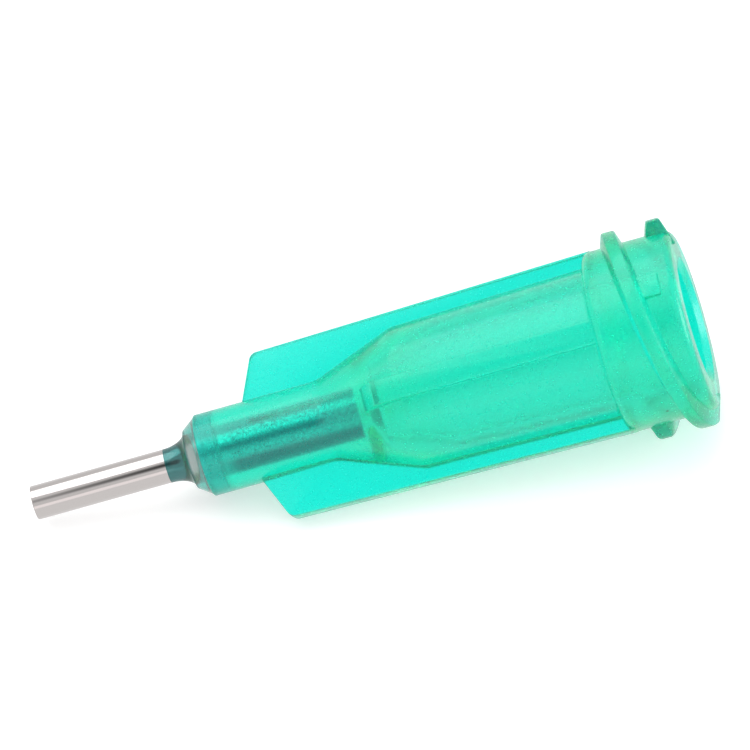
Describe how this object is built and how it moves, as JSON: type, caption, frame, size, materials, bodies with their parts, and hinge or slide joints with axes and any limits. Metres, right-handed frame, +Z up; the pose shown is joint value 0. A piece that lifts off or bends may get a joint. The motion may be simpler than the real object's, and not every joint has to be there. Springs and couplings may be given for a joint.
{
  "type": "dispensing needle tip",
  "caption": "Blunt stainless dispensing tube glued into a moulded hub with wings, a tapered luer socket and lugs for a luer lock.",
  "frame": {"origin": "on the surface the tip lies on, under the middle of its box", "axes": "+X level, along the tip from the tube's free end towards the mouth, +Y to the left seen from the tube, +Z up; the tip's own axis rises 7.2 degrees towards +X"},
  "size_m": [0.0255, 0.0078, 0.0078],
  "materials": {
    "hub_plastic": "gloss",
    "stainless_tube": "drawn",
    "clear_adhesive": "gloss"
  },
  "bodies": {
    "root": {"hub": "hub_plastic", "needle_tube": "stainless_tube", "epoxy_bead": "clear_adhesive"}
  },
  "joints": []
}
